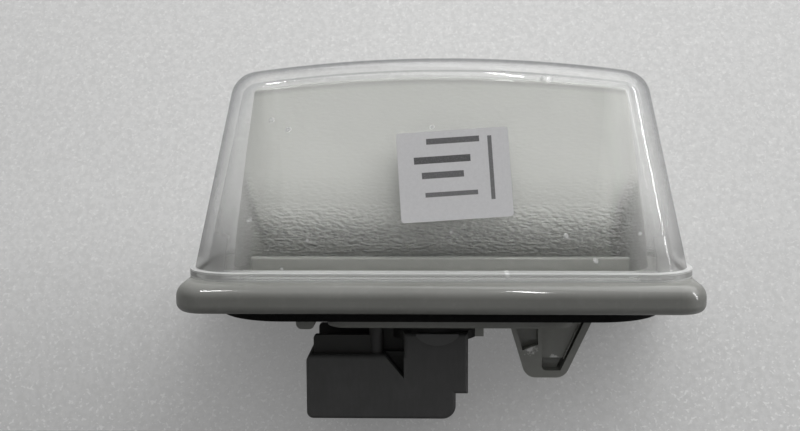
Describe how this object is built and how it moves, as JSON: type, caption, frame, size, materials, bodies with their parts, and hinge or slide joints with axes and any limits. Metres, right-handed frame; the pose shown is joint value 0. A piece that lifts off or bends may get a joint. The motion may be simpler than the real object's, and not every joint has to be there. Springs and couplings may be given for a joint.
{
  "type": "number plate lamp",
  "caption": "Car number plate lamp: clear lens cup over a light hood, on a grey snap-in housing with a foam gasket and a twist-in bulb holder with a side plug.",
  "frame": {"origin": "middle of the gasket's seat, the face that lies on the body panel", "axes": "+X along the lamp, the plug opens towards -X and the snap clip is on the +X half; +Y from the hood's closed side to its open side; +Z out of the panel through the lens"},
  "size_m": [0.0904, 0.042, 0.0645],
  "materials": {
    "gasket_foam": "matte",
    "housing_plastic": "satin",
    "lens_clear": "polished",
    "hood_plastic": "matte",
    "seal_rubber": "matte",
    "holder_plastic": "matte",
    "contact_brass": "satin",
    "bulb_clear": "polished",
    "lead_wire": "satin",
    "filament_wire": "satin",
    "label_paper": "matte"
  },
  "bodies": {
    "root": {"gasket": "gasket_foam", "housing": "housing_plastic", "lens": "lens_clear", "hood": "hood_plastic", "holder_seal": "seal_rubber", "holder_body": "holder_plastic", "contact_left": "contact_brass", "contact_right": "contact_brass", "bulb_glass": "bulb_clear", "bulb_leads": "lead_wire", "bulb_filament": "filament_wire", "paper_label": "label_paper"}
  },
  "joints": []
}
